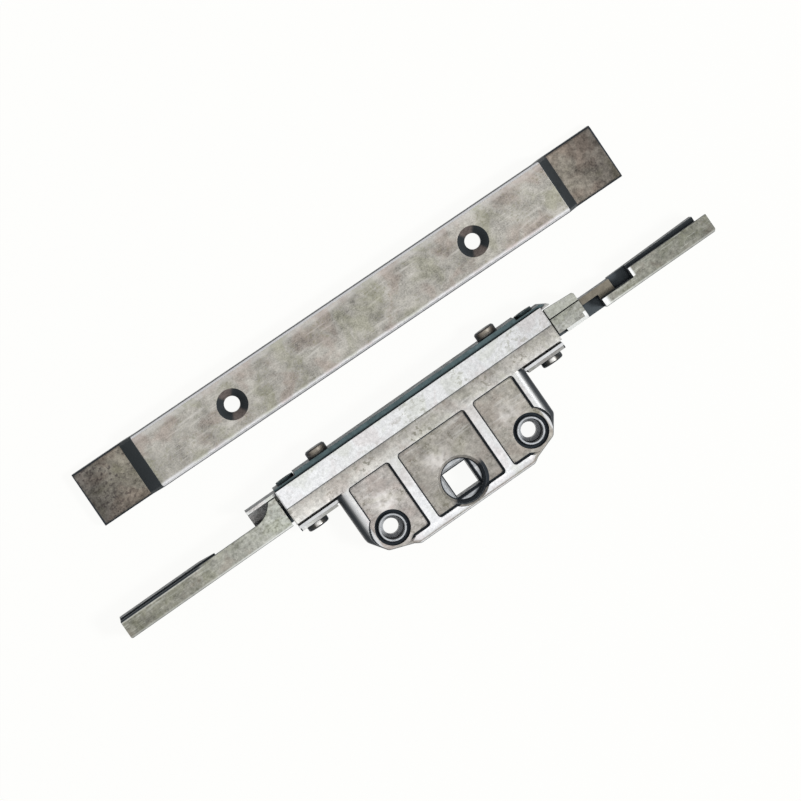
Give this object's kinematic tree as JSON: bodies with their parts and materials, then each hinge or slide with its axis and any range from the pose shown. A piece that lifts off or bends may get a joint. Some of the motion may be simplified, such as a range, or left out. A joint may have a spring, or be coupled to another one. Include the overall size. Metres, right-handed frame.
{
  "type": "window espagnolette gearbox",
  "caption": "Two-way window espagnolette gearbox: a square spindle hub drives two toothed tongues out of a riveted case, with its loose joggled face plate.",
  "frame": {"origin": "spindle axis at the gearbox's back face, midway between the handle screw holes", "axes": "+X along the tongues towards the stepped right tongue, +Y from the spindle towards the edge that carries the face plate, +Z from the back face to the pocketed front"},
  "size_m": [0.1814, 0.0649, 0.012],
  "materials": {
    "cast_zinc": "satin die cast",
    "channel_steel": "zinc plated",
    "strip_steel": "blue zinc plated",
    "tongue_steel": "dull zinc plated",
    "hub_steel": "satin",
    "rivet_steel": "dark zinc plated",
    "plate_steel": "worn satin zinc"
  },
  "bodies": {
    "gearbox": {"front_case": "cast_zinc", "side_channel": "channel_steel", "edge_strip": "strip_steel", "rear_cover": "channel_steel", "cover_rivets": "rivet_steel", "hub_washer": "hub_steel", "screw_sleeve_left": "hub_steel", "screw_sleeve_right": "hub_steel", "face_bush_left": "rivet_steel", "face_bush_right": "rivet_steel", "flange_rivet_left": "rivet_steel", "flange_rivet_right": "rivet_steel", "locating_stud_left": "rivet_steel", "locating_stud_right": "rivet_steel", "idler_pin": "rivet_steel"},
    "hub": {"spindle_hub": "hub_steel"},
    "left_tongue": {"left_bolt": "tongue_steel", "left_rack_bar": "tongue_steel", "left_dowels": "rivet_steel"},
    "right_tongue": {"right_bolt": "tongue_steel", "right_rack_bar": "tongue_steel", "right_dowels": "rivet_steel"},
    "idler": {"idler_pinion": "hub_steel"},
    "plate": {"face_plate": "plate_steel"}
  },
  "joints": [
    {"name": "handle_turn", "type": "hinge", "parent": "gearbox", "child": "hub", "pos_m": [0, 0, 0], "axis": [0, 0, -1], "range_deg": [0, 90]},
    {"name": "left_tongue_slide", "type": "slide", "parent": "gearbox", "child": "left_tongue", "axis": [1, 0, 0], "range_m": [0, 0.01767]},
    {"name": "right_tongue_slide", "type": "slide", "parent": "gearbox", "child": "right_tongue", "axis": [-1, 0, 0], "range_m": [0, 0.01767]},
    {"name": "idler_turn", "type": "hinge", "parent": "gearbox", "child": "idler", "pos_m": [0, 0.015, 0], "axis": [0, 0, 1], "range_deg": [0, 270]},
    {"name": "plate_lift", "type": "slide", "parent": "gearbox", "child": "plate", "axis": [0, 0, 1], "range_m": [0, 0.03]}
  ],
  "couplings": [
    {"joint": "handle_turn", "follows": "left_tongue_slide", "rad_per_m": 88.889},
    {"joint": "right_tongue_slide", "follows": "left_tongue_slide", "ratio": 1},
    {"joint": "idler_turn", "follows": "left_tongue_slide", "rad_per_m": 266.67}
  ]
}
